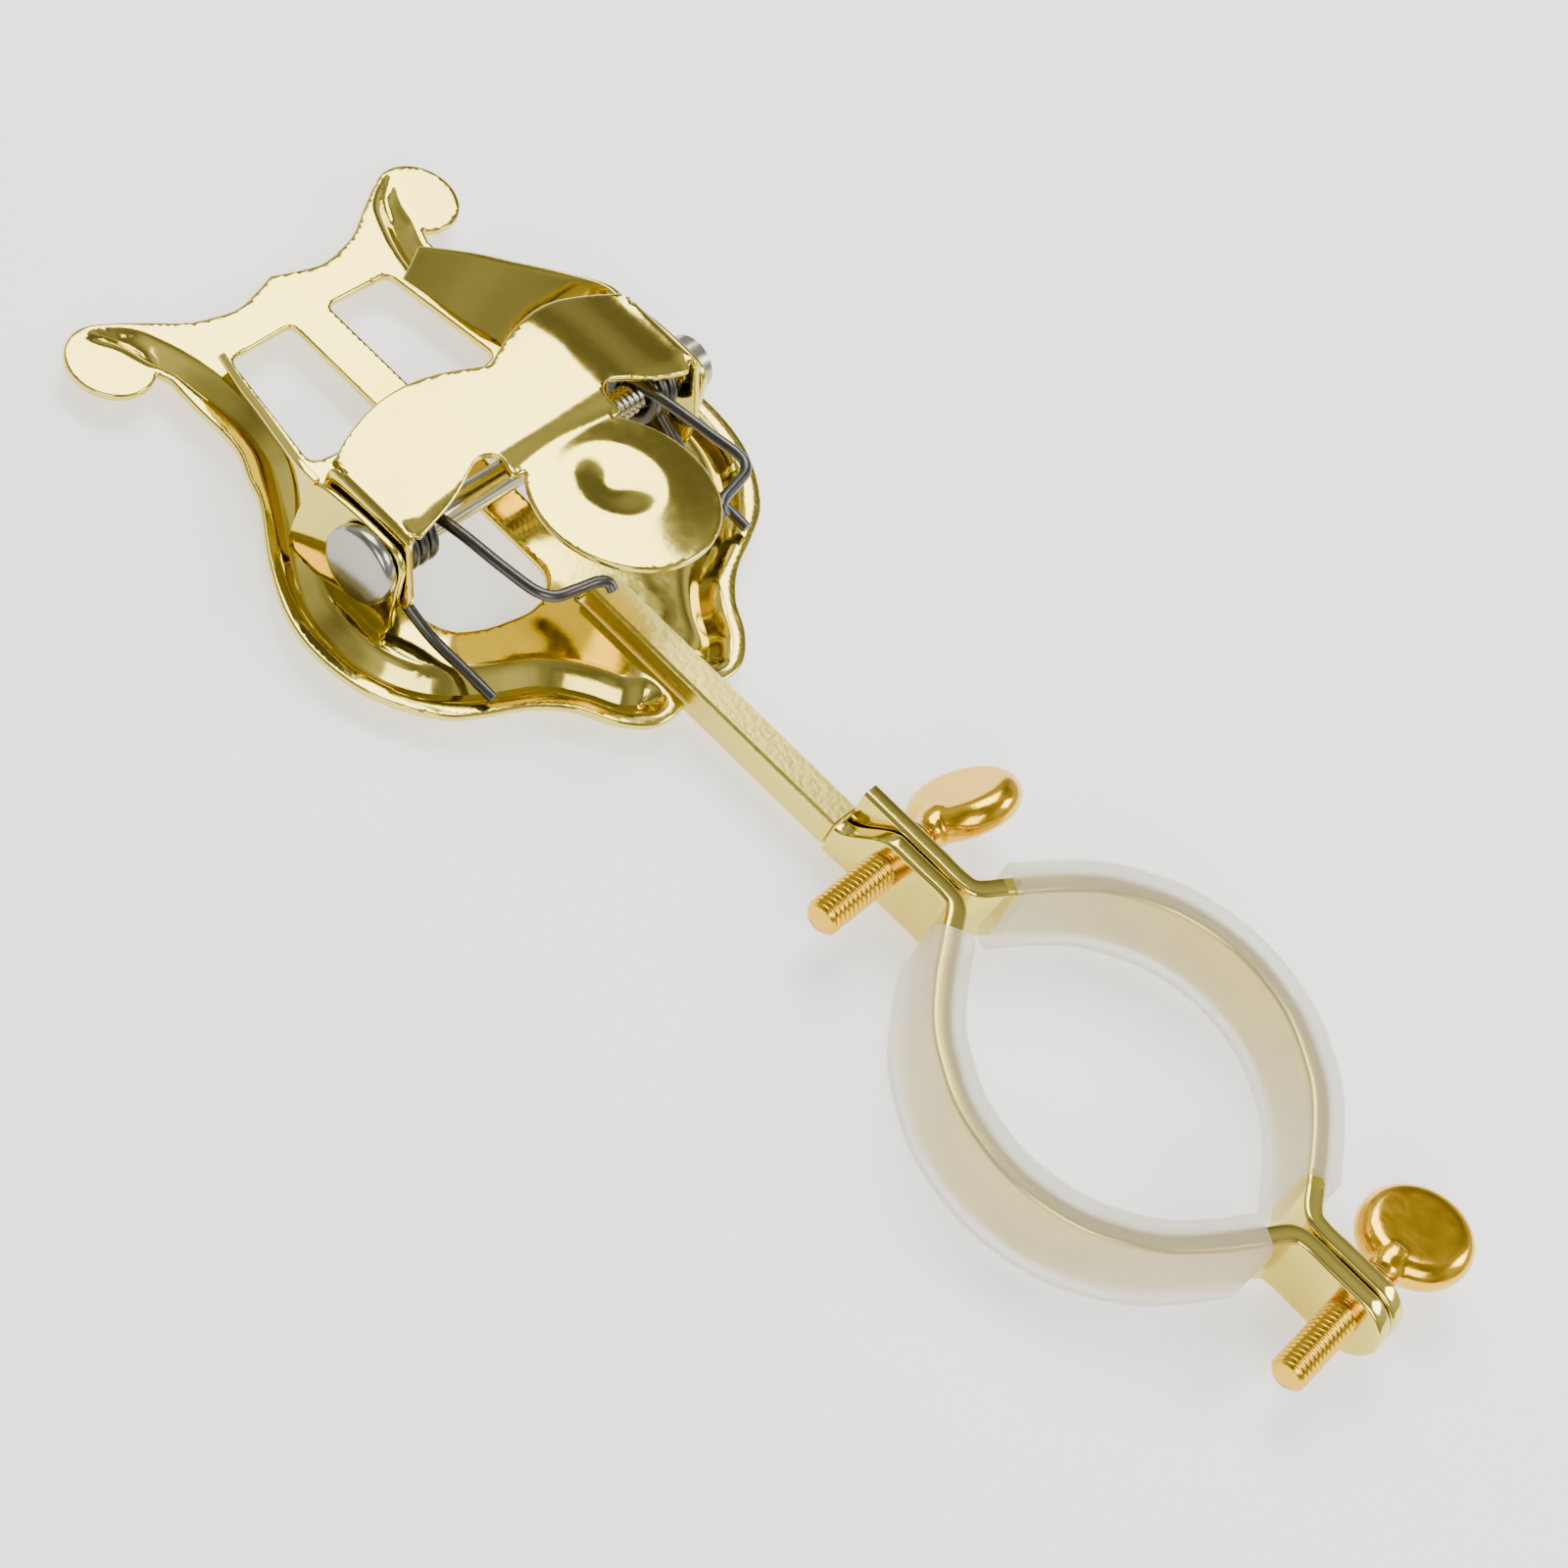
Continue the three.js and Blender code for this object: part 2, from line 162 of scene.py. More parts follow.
def dist(P, line, closed=False):
    q = np.array([tuple(v)[:2] for v in line])
    A = q if closed else q[:-1]; B = np.roll(q, -1, 0) if closed else q[1:]
    best = np.full(len(P), 1e9)
    for a, b in zip(A, B):
        d = b - a; t = np.clip(((P - a) @ d) / (d @ d + 1e-12), 0, 1)
        best = np.minimum(best, np.hypot(*(P - a - t[:, None] * d).T))
    return best


def sheet(name, outline, holes, place, step, thick, mat, body, bevel=0.26, off=OFF, lines=(), flip=None):
    """A flat pattern, triangulated finely, bent by place(u, v) and thickened below its upper face."""
    loops = [resample(outline, step)] + [resample(h, step) for h in holes]
    pts = []; edges = []
    for l in loops:
        k = len(pts)
        pts += [Vector(p[:2]) for p in l]
        edges += [(k + i, k + (i + 1) % len(l)) for i in range(len(l))]
    for l in loops:                     # rows of points just inside each edge, for its rounding
        c = np.array([tuple(p)[:2] for p in l]); t = np.roll(c, -1, 0) - np.roll(c, 1, 0)
        t /= np.linalg.norm(t, axis=1)[:, None] + 1e-12
        nn = np.column_stack([-t[:, 1], t[:, 0]])
        for dd in (0.03, 0.1, 0.26):
            for sg in (1, -1):
                r_ = c + nn * dd * sg
                k_ = inside(r_, loops[0])
                for h in loops[1:]:
                    k_ &= ~inside(r_, h)
                for h in loops:
                    k_ &= dist(r_, h, True) > dd * 0.9
                pts += [Vector(p) for p in r_[k_]]
    for l in lines:
        k = len(pts)
        pts += [Vector(p[:2]) for p in l]
        edges += [(k + i, k + i + 1) for i in range(len(l) - 1)]
    q = np.array([tuple(p) for p in loops[0]])
    gx = np.arange(q[:, 0].min(), q[:, 0].max(), step); gy = np.arange(q[:, 1].min(), q[:, 1].max(), step)
    G = np.array([(x + (0.5 * step if j % 2 else 0), y) for j, y in enumerate(gy) for x in gx])
    keep = inside(G, loops[0])
    for h in loops[1:]:
        keep &= ~inside(G, h)
    for l in loops:
        keep &= dist(G, l, True) > 0.55 * step
    for l in lines:
        keep &= dist(G, l) > 0.5 * step
    pts += [Vector(p) for p in G[keep]]
    V, _, F, *_ = delaunay_2d_cdt(pts, edges, [], 0, 1e-5)
    C = np.array([tuple(sum((V[i] for i in f), Vector((0, 0))) / len(f)) for f in F])
    ok = inside(C, loops[0])
    for h in loops[1:]:
        ok &= ~inside(C, h)
    UV = np.array([tuple(v) for v in V])
    W = place(UV)
    T = np.array([f for f, k in zip(F, ok) if k])
    n = np.zeros_like(W)
    fn = np.cross(W[T[:, 1]] - W[T[:, 0]], W[T[:, 2]] - W[T[:, 0]])
    if flip if flip is not None else fn[:, 2].sum() < 0:
        T = T[:, ::-1]; fn = -fn
    for k in range(3):
        np.add.at(n, T[:, k], fn)
    n /= np.linalg.norm(n, axis=1)[:, None] + 1e-12
    d = np.full(len(UV), 1e9)
    for l in loops:
        d = np.minimum(d, dist(UV, l, True))
    R = bevel
    drop = np.where(d < R, R - np.sqrt(np.maximum(0, R * R - (R - np.minimum(d, R)) ** 2)), 0)[:, None]
    up = W - n * drop; dn = W - n * (thick - drop)
    m = len(W)
    count = {}
    for t in T:
        for i in range(3):
            e = (int(t[i]), int(t[(i + 1) % 3])); count[e] = 1
    rim = [e for e in count if (e[1], e[0]) not in count]
    faces = [tuple(map(int, t)) for t in T] + [tuple(int(i) + m for i in t[::-1]) for t in T] + [(e[1], e[0], e[0] + m, e[1] + m) for e in rim]
    me = bpy.data.meshes.new(name)
    me.from_pydata([tuple((Vector(w) + off) * MM) for w in np.vstack([up, dn])], [], faces)
    bm = bmesh.new(); bm.from_mesh(me)
    bmesh.ops.delete(bm, geom=[v for v in bm.verts if not v.link_faces], context="VERTS")
    bm.to_mesh(me); bm.free()
    return link(me, name, mat, body, sharp=65)


def tube(path, section, closed_ends=True, flip=False):
    """Sections placed along a path: section(i, t) gives points (a, b) across, frame carried without twist."""
    P = [Vector(p) for p in path]
    verts = []; faces = []
    up = None; n = None
    for i, p in enumerate(P):
        t = (P[min(i + 1, len(P) - 1)] - P[max(i - 1, 0)]).normalized()
        if up is None:
            up = Vector((0, 0, 1)) if abs(t.z) < 0.9 else Vector((1, 0, 0))
            up = (up - t * up.dot(t)).normalized()
        else:
            up = (up - t * up.dot(t)).normalized()
        side = t.cross(up)
        s = section(i)
        n = len(s)
        verts += [p + side * a + up * b for a, b in s]
    for i in range(len(P) - 1):
        for j in range(n):
            k = (j + 1) % n
            faces.append((i*n + j, i*n + k, (i+1)*n + k, (i+1)*n + j))
    if closed_ends:
        faces.append(tuple(range(n))[::-1]); faces.append(tuple((len(P)-1)*n + j for j in range(n)))
    return verts, faces


def lathe_x(profile, n=48):
    """profile: (x, r) pairs, first and last on the axis; axis along X."""
    verts = [(profile[0][0], 0, 0)]
    for x, r in profile[1:-1]:
        verts += [(x, r * math.cos(2*math.pi*k/n), r * math.sin(2*math.pi*k/n)) for k in range(n)]
    verts.append((profile[-1][0], 0, 0))
    faces = [(0, 1 + k, 1 + (k + 1) % n) for k in range(n)]
    m = len(profile) - 2
    for i in range(m - 1):
        for k in range(n):
            a = 1 + i*n + k; b = 1 + i*n + (k+1) % n
            faces.append((a, a + n, b + n, b))
    e = len(verts) - 1; s = 1 + (m-1)*n
    faces += [(e, s + (k+1) % n, s + k) for k in range(n)]
    return verts, faces


def threaded(x0, x1, R, depth, pitch, n=36, per=9, lead=0.8, both=False):
    """A helical thread of major radius R from its tip x0 to x1."""
    rows = max(4, int((x1 - x0) / pitch * per))
    verts = [(x0, 0, 0)]
    for i in range(rows + 1):
        x = x0 + (x1 - x0) * i / rows
        for k in range(n):
            ph = (x / pitch - k / n) % 1.0
            tri = abs(ph - 0.5) * 2
            r = R - depth * min(1, max(0, 1.15 * tri - 0.08))
            r = min(r, R - depth - 0.15 + (x - x0) * 1.1)
            if both:
                r = min(r, R - depth - 0.15 + (x1 - x) * 1.1)
            a = 2 * math.pi * k / n
            verts.append((x, r * math.cos(a), r * math.sin(a)))
    verts.append((x1, 0, 0))
    faces = [(0, 1 + k, 1 + (k+1) % n) for k in range(n)]
    for i in range(rows):
        for k in range(n):
            a = 1 + i*n + k; b = 1 + i*n + (k+1) % n
            faces.append((a, a + n, b + n, b))
    e = len(verts) - 1; s = 1 + rows*n
    faces += [(e, s + (k+1) % n, s + k) for k in range(n)]
    return verts, faces


def shift(vf, d, k=0):
    v, f = vf
    return [tuple(Vector(p) + Vector(d)) for p in v], [tuple(i + k for i in g) for g in f]


def join(*parts):
    V = []; F = []
    for v, f in parts:
        F += [tuple(i + len(V) for i in g) for g in f]; V += list(v)
    return V, F


# ---------- materials ----------
def metal(name, col, rough, dark=0.86, grain=900, bump=0.03, speck=0.0):
    m = bpy.data.materials.new(name); m.use_nodes = True
    N = m.node_tree.nodes; L = m.node_tree.links; B = N["Principled BSDF"]
    B.inputs["Metallic"].default_value = 1.0
    tc = N.new("ShaderNodeTexCoord")
    n1 = N.new("ShaderNodeTexNoise"); n1.inputs["Scale"].default_value = 55; n1.inputs["Detail"].default_value = 4
    n2 = N.new("ShaderNodeTexNoise"); n2.inputs["Scale"].default_value = grain; n2.inputs["Detail"].default_value = 3
    L.new(tc.outputs["Object"], n1.inputs["Vector"]); L.new(tc.outputs["Object"], n2.inputs["Vector"])
    r = N.new("ShaderNodeValToRGB")
    r.color_ramp.elements[0].position = 0.3; r.color_ramp.elements[1].position = 0.7
    r.color_ramp.elements[0].color = (*[c * dark for c in col], 1); r.color_ramp.elements[1].color = (*col, 1)
    L.new(n1.outputs["Fac"], r.inputs["Fac"]); L.new(r.outputs["Color"], B.inputs["Base Color"])
    # wear: edges are duller
    g = N.new("ShaderNodeNewGeometry")
    e = N.new("ShaderNodeMapRange"); e.inputs["From Min"].default_value = 0.5; e.inputs["From Max"].default_value = 0.62
    e.inputs["To Min"].default_value = rough; e.inputs["To Max"].default_value = rough + 0.1
    L.new(g.outputs["Pointiness"], e.inputs["Value"])
    a = N.new("ShaderNodeMath"); a.operation = "MULTIPLY_ADD"; a.inputs[1].default_value = 0.10 + speck
    L.new(n2.outputs["Fac"], a.inputs[0]); L.new(e.outputs["Result"], a.inputs[2]); L.new(a.outputs[0], B.inputs["Roughness"])
    b = N.new("ShaderNodeBump"); b.inputs["Strength"].default_value = bump; b.inputs["Distance"].default_value = 0.0002
    L.new(n2.outputs["Fac"], b.inputs["Height"]); L.new(b.outputs["Normal"], B.inputs["Normal"])
    return m


GOLD = metal("champagne_gold", (0.80, 0.65, 0.125), 0.045)
STEMG = metal("stem_gold", (0.80, 0.66, 0.15), 0.10, grain=1500, bump=0.18, speck=0.12)
SCREWG = metal("orange_gold", (0.90, 0.53, 0.03), 0.12, grain=700, bump=0.12)
STEEL = metal("nickel_steel", (0.40, 0.38, 0.31), 0.13, grain=600, bump=0.06)
WIRE = metal("spring_wire", (0.11, 0.105, 0.095), 0.24, dark=0.7, grain=1400, bump=0.15)

SLV = bpy.data.materials.new("milky_sleeve"); SLV.use_nodes = True
N = SLV.node_tree.nodes; L = SLV.node_tree.links; B = N["Principled BSDF"]
B.inputs["Transmission Weight"].default_value = 0.8
B.inputs["IOR"].default_value = 1.25
B.inputs["Alpha"].default_value = 0.56
tc = N.new("ShaderNodeTexCoord"); n1 = N.new("ShaderNodeTexNoise"); n1.inputs["Scale"].default_value = 120; n1.inputs["Detail"].default_value = 5
L.new(tc.outputs["Object"], n1.inputs["Vector"])
r = N.new("ShaderNodeValToRGB"); r.color_ramp.elements[0].color = (0.94, 0.90, 0.76, 1); r.color_ramp.elements[1].color = (1.0, 0.98, 0.90, 1)
L.new(n1.outputs["Fac"], r.inputs["Fac"]); L.new(r.outputs["Color"], B.inputs["Base Color"])
mr = N.new("ShaderNodeMapRange"); mr.inputs["To Min"].default_value = 0.28; mr.inputs["To Max"].default_value = 0.45
L.new(n1.outputs["Fac"], mr.inputs["Value"]); L.new(mr.outputs["Result"], B.inputs["Roughness"])
bp = N.new("ShaderNodeBump"); bp.inputs["Strength"].default_value = 0.1; bp.inputs["Distance"].default_value = 0.0003
L.new(n1.outputs["Fac"], bp.inputs["Height"]); L.new(bp.outputs["Normal"], B.inputs["Normal"])

# ---------- lyre plate ----------
top = [(0, 58.5, 0), (3.4, 57.5, 0), (6.5, 56.9, 0), (9.5, 57.4, 0), (12.3, 58.2, 0), (16, 60.3, 0), (19.2, 62.1, 0)]
arm = [(19.3, 53.2, 0), (19.5, 48.8, 0), (19.4, 45.3, 0), (19.8, 42.5, 0), (21.2, 39.6, 0), (22.2, 37, 0), (26.8, 30.7, 0), (29.9, 25, 0), (30.9, 20.5, 0), (30.3, 14.7, 0), (28.4, 10.5, 0), (25, 6.5, 0), (21.7, 4.6, 0), (16.3, 2.2, 0), (12.8, -0.6, 0), (10.5, -4, 0), (7.4, -6.5, 0), (4.8, -7, 0), (2.3, -6.7, 0)]
half = [p.xy for p in spline(top, 30)]
half += [Vector((22.9 + 4.85 * math.cos(math.radians(a)), 58.5 + 4.85 * math.sin(math.radians(a)))) for a in range(125, -131, -6)]
half += [p.xy for p in spline(arm, 90)]
half += [Vector((2.3, 9.2)), Vector((0, 9.2))]          # slot for the stem
outline = mirrored(half)
up_w = [(2.6, 38.2), (2.6, 52.3), (11.9, 52.1), (14.2, 37.6), (11, 37)]
lo_w = [(2.6, 29), (2.6, 13.5), (5, 11.5), (8, 10.9), (13.7, 12), (17.2, 13.8), (18.5, 17), (18.5, 27), (14, 31), (4, 31)]
holes = []
for w, rr in ((up_w, 1.1), (lo_w, 2.0)):
    holes.append(rounded(w, rr)); holes.append([Vector((-p.x, p.y)) for p in rounded(w, rr)][::-1])
valley = [p.xy for p in spline([(21.2, 62.4, 0), (19.0, 58.5, 0), (17.0, 54, 0), (16.0, 49, 0), (15.9, 44.5, 0), (16.6, 41, 0), (18.3, 38, 0), (20.6, 34.6, 0), (24.4, 29.2, 0), (26.6, 24.6, 0), (27.3, 20.2, 0), (26.8, 15.8, 0), (25.2, 12.2, 0), (22, 8.9, 0), (17.4, 6.4, 0), (12.6, 4.2, 0), (9.2, 0.8, 0), (7.2, -2.2, 0), (5.2, -3.6, 0)], 70)]


def plate_place(UV):
    Q = np.abs(UV * [1, 0]) + UV * [0, 1]
    d = dist(Q, valley)
    w = np.where(UV[:, 1] < 12, 2.7, 2.35)
    k = np.clip(1 - d / w, 0, 1)
    k = k * k * (1.8 - 0.8 * k)
    horn = np.clip((np.hypot(Q[:, 0] - 22.9, Q[:, 1] - 58.5) - 1.0) / 4.0, 0, 1)
    z = -1.6 * k * horn
    rim = dist(UV, outline_s, True)
    t = np.clip((rim - 0.5) / 1.4, 0, 1); z *= t * t * (3 - 2 * t)
    return np.column_stack([UV, z])


outline_s = resample(outline, 0.8)
plate = sheet("lyre_plate_pressed", outline, holes, plate_place, 0.45, 0.9, GOLD, "frame", lines=[valley, [Vector((-p.x, p.y)) for p in valley]])
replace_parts(plate, "lyre_plate")
lug = rounded([(16.6, -0.4), (31.6, -0.4), (31.4, 10.4), (25.8, 11.2), (18.4, 11.2)], 2.6, 8)
for s, nm in ((1, "right"), (-1, "left")):
    def put(UV, s=s):
        return np.column_stack([np.full(len(UV), s * 23.85), UV])
    holes_l = [[Vector((PIN.y + 1.85 * math.cos(a * math.pi / 14), PIN.z + 1.85 * math.sin(a * math.pi / 14))) for a in range(28)]]
    o = sheet("pivot_lug_" + nm, lug, holes_l, put, 0.9, 0.9, GOLD, "frame", flip=s < 0)
    xs = [v.co.x for v in o.data.vertices]
    want = 22.95 * MM if s > 0 else -23.85 * MM
    dx = want - min(xs)
    for v in o.data.vertices:
        v.co.x += dx

# ---------- stem ----------
bm = bmesh.new(); bmesh.ops.create_cube(bm, size=1)
for v in bm.verts:
    v.co = ((Vector((v.co.x * 4, v.co.y * 35.9 - 8.95, v.co.z * 3.9 + 0.25)) + OFF) * MM)
bmesh.ops.bevel(bm, geom=bm.edges[:], offset=0.35 * MM, segments=3, affect="EDGES")
me = bpy.data.meshes.new("stem"); bm.to_mesh(me); bm.free()
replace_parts(link(me, "square_stem", STEMG, "frame", sharp=25), "stem_bar")

# ---------- clip ----------
U0, RF, CZ = 21.6, 1.05, 12.5
ear = lambda z: U0 + math.pi / 2 * RF + (CZ - RF - z)
c1 = [p.xy for p in spline([(0, 30.6, 0), (6.3, 32.9, 0), (13, 33.6, 0), (18.3, 32.5, 0), (U0, 31.0, 0)], 30)]
c2 = rounded([(U0 + 0.5, 30.7), (ear(8), 30.7), (ear(3.6), 26), (ear(3.2), 19), (ear(4.6), 16.1), (ear(CZ - RF), 19.2), (U0, 19.2)], 1.6)
c3 = [p.xy for p in spline([(U0 - 1, 19.3, 0), (15, 20.5, 0), (9.8, 22.4, 0), (8.2, 21.4, 0), (8.4, 19, 0)], 24)]
c4 = [Vector((10.3 * math.cos(math.radians(a)), 11 + 10.3 * math.sin(math.radians(a)))) for a in range(48, -91, -5)]
c4[-1].x = 0
clip_outline = mirrored(c1 + c2 + c3 + c4)


def clip_place(UV):
    out = []
    for u, v in UV:
        s = 1 if u >= 0 else -1
        a = abs(u)
        x = min(a, U0)
        z = CZ + 1.7 * (1 - smooth(8, 21, x))
        q = math.log1p(math.exp((21 - v) / 1.6)) * 1.6
        z += 0.07 * q * (1 - smooth(16, 21, x))
        d = math.hypot(u, v - 12.5)
        z -= 0.55 * (1 - smooth(0.6, 5.6, d))
        rp = math.hypot(u, v - 11)
        if v < 22:
            z -= 0.5 * smooth(3.0, 11.5, rp) * (1 - smooth(19, 22, v))
        z -= 0.3 * ((v - 26) / 7) ** 2 if v > 26 else 0
        if a > U0:
            t = a - U0
            if t < math.pi / 2 * RF:
                x = U0 + RF * math.sin(t / RF); z = CZ - RF * (1 - math.cos(t / RF))
            else:
                x = U0 + RF; z = CZ - RF - (t - math.pi / 2 * RF)
        out.append((s * x, v, z))
    return np.array(out)


pu = ear(PIN.z)
ring = lambda s: [Vector((s * pu + 1.95 * math.cos(a * math.pi / 14), PIN.y + 1.95 * math.sin(a * math.pi / 14))) for a in range(28)]
clip = sheet("clip_flap_pressed", clip_outline, [ring(1), ring(-1)], clip_place, 0.42, 0.85, GOLD, "clip")
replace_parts(clip, "clip_flap")
def strip(name, rows, thick, body, flip):
    """A bent sheet from rows of points, thickened on both sides of the rows."""
    n, m = len(rows), len(rows[0])
    V = [(Vector(p) + OFF) * MM for row in rows for p in row]
    F = [(i*m + j, i*m + j + 1, (i+1)*m + j + 1, (i+1)*m + j) for i in range(n - 1) for j in range(m - 1)]
    me = bpy.data.meshes.new(name); me.from_pydata([tuple(v) for v in V], [], [f[::-1] for f in F] if flip else F)
    o = link(me, name, GOLD, None)
    q = o.modifiers.new("t", "SOLIDIFY"); q.thickness = thick * MM; q.offset = 0
    q = o.modifiers.new("b", "BEVEL"); q.width = 0.2 * MM; q.segments = 3; q.limit_method = "ANGLE"; q.angle_limit = math.radians(50)
    q = o.modifiers.new("w", "WEIGHTED_NORMAL"); q.keep_sharp = True
    bake(o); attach(o, body)
    return o


WALL = [((12.9, 50.8, -0.5), (14.9, 51.6, 3.2)), ((14, 46, -0.5), (17.6, 46.8, 5.4)), ((15, 41, -0.5), (19.4, 42.7, 7)), ((16.6, 36.4, -0.5), (21.7, 37.6, 8.9)), ((20.2, 33, -0.5), (23.3, 33.4, 10.2)), ((23.4, 30.6, -0.5), (23.4, 30.8, 10.3))]
foot = spline([w[0] for w in WALL], 60); ridge = spline([w[1] for w in WALL], 60)
for s, nm in ((1, "right"), (-1, "left")):
    rows = [[Vector((s * q.x, q.y, q.z)) for q in (f.lerp(r, k / 12) for k in range(13))] for f, r in zip(foot, ridge)]
    strip("side_wall_" + nm, rows, 0.88, "frame", s < 0)
    rows = []
    for i in range(25):
        t = i / 24; x = 3.4 + 13.2 * t; top_z = CZ + 1.7 * (1 - smooth(8, 21, x)) - 0.5
        rows.append([Vector((s * (x + (1.2 if i < 12 else -1.0) * (1 - k / 10) * (abs(t - .5) * 2) ** 3), 31.45, 0.35 + (top_z - 0.35) * k / 10)) for k in range(11)])
    strip("clip_jaw_" + nm, rows, 0.85, "clip", s > 0)

# ---------- pivot ----------
hx = -24.15
head = lathe_x([(hx - 1.6, 0), (hx - 1.6, 3.6), (hx - 1.5, 3.95), (hx - 1.25, 4.2), (hx - 0.9, 4.3), (hx - 0.3, 4.3), (hx, 4.15), (hx, 1.75), (1.0, 1.75), (1.0, 0)])
thr = threaded(1.0, 26.2, 1.72, 0.28, 0.8, both=True)
v, f = join(head, thr)
me = from_py([(a, b + PIN.y, c + PIN.z) for a, b, c in v], f, "pivot", OFF)
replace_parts(link(me, "pivot_screw_fine", STEEL, "frame"), "pivot_screw")
nx = 24.15
v, f = lathe_x([(nx, 0), (nx, 3.0), (nx + 0.15, 3.2), (nx + 1.9, 3.2), (nx + 2.15, 2.95), (nx + 2.2, 2.7), (nx + 2.2, 0)])
me = from_py([(a, b + PIN.y, c + PIN.z) for a, b, c in v], f, "nut", OFF)
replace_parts(link(me, "pivot_nut_fine", STEEL, "frame"), "pivot_nut")

# ---------- springs ----------
for s, nm in ((-1, "spring_left"), (1, "spring_right")):
    pts = [(20.2, 5, 1.1), (20.3, 9, 1.2), (20.6, 14, 1.6), (20.9, 18.5, 3.2)]
    tot = 6 * math.pi + math.radians(185); n = round(12 * tot / (2 * math.pi))
    for i in range(n + 1):
        a = math.radians(-95) + tot * i / n
        pts.append((20.9 - 4.8 * i / n, PIN.y + 2.65 * math.cos(a), PIN.z + 2.65 * math.sin(a)))
    pts += [(16.1, 17.5, 11.1), (16.2, 12, 12), (16, 7.6, 12.8), (15, 6.3, 12.9), (12.5, 5.6, 13), (9.8, 5, 13), (8.9, 4.4, 12.9), (8.8, 3.6, 12.4)]
    path = spline([(s * a, b, c) for a, b, c in pts], 420)
    v, f = tube(path, lambda i: [(0.62 * math.cos(k * math.pi / 6), 0.62 * math.sin(k * math.pi / 6)) for k in range(12)])
    me = from_py(v, f, nm, OFF)
    o = link(me, nm + "_wire", WIRE, None)
    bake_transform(o)
    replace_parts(o, nm)

# ---------- clamp bands and sleeves ----------
def band_line(s):
    c = 1.25
    h = [(1.7, 23.1), (5, 21), (9.7, 18.2), (14, 15), (16.8, 11.7), (19.4, 7.2), (20.8, 0)]
    p = [(c, 37.7), (c, 33), (c, 28), (c, 24.6)] + h + [(x, -y) for x, y in h[:-1][::-1]] + [(c, -24.6), (c, -28), (c, -32), (c, -36.3)]
    return [(s * x, y, 0) for x, y in p]


def rrect(hx_, z0, z1, r, n=4):
    out = []
    for cx, cz, a0 in ((hx_ - r, z1 - r, 0), (-hx_ + r, z1 - r, 90), (-hx_ + r, z0 + r, 180), (hx_ - r, z0 + r, 270)):
        out += [(cx + r * math.cos(math.radians(a0 + 90 * k / n)), cz + r * math.sin(math.radians(a0 + 90 * k / n))) for k in range(n + 1)]
    return out


for s, nm, body in ((-1, "front", "frame"), (1, "rear", "rear_clamp")):
    path = spline(band_line(s), 360)
    low = path[-1]; path = [p for p in path if p.y > -34.2]
    path += [Vector((low.x, -34.2 - 2.1 * math.sin(k * math.pi / 40), 0)) for k in range(1, 21)]
    # finer steps at the rounded lower end
    def sec(i, path=path, s=s):
        y = path[i].y
        z1, z0 = 4.1, -4.1
        if y < -32.2:
            d = min(4.1, max(0.0, y + 36.3)); w = math.sqrt(max(0.12, 4.1**2 - (4.1 - d)**2)); z1, z0 = w, -w
        if s < 0 and y > 31.5:
            z1 = 4.1 - 4.3 * smooth(31.5, 37.7, y)
        return rrect(1.1, z0, z1, min(0.5, (z1 - z0) / 2.5))
    v, f = tube(path, sec)
    me = from_py(v, f, "band_" + nm)
    o = link(me, "clamp_band_%s_bent" % nm, GOLD, body)
    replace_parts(o, "clamp_band_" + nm)
    sp = [p for p in path if abs(p.y) < 20.9]
    no = len(rrect(1, -1, 1, .3, 5))
    outer = tube(sp, lambda i: rrect(2.45, -5.45, 5.45, 1.5, 5), False)
    inner = tube(sp, lambda i: rrect(1.3, -4.3, 4.3, 0.6, 5), False)
    k = len(outer[0]); nn = k // len(sp)
    v = outer[0] + inner[0]; f = outer[1] + [tuple(i + k for i in g[::-1]) for g in inner[1]]
    for e in (0, len(sp) - 1):
        for j in range(nn):
            f.append((e*nn + j, e*nn + (j+1) % nn, k + e*nn + (j+1) % nn, k + e*nn + j))
    me = from_py(v, f, "sleeve_" + nm)
    o = link(me, "sleeve_%s_soft" % nm, SLV, body, sharp=60)
    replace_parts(o, "sleeve_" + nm)

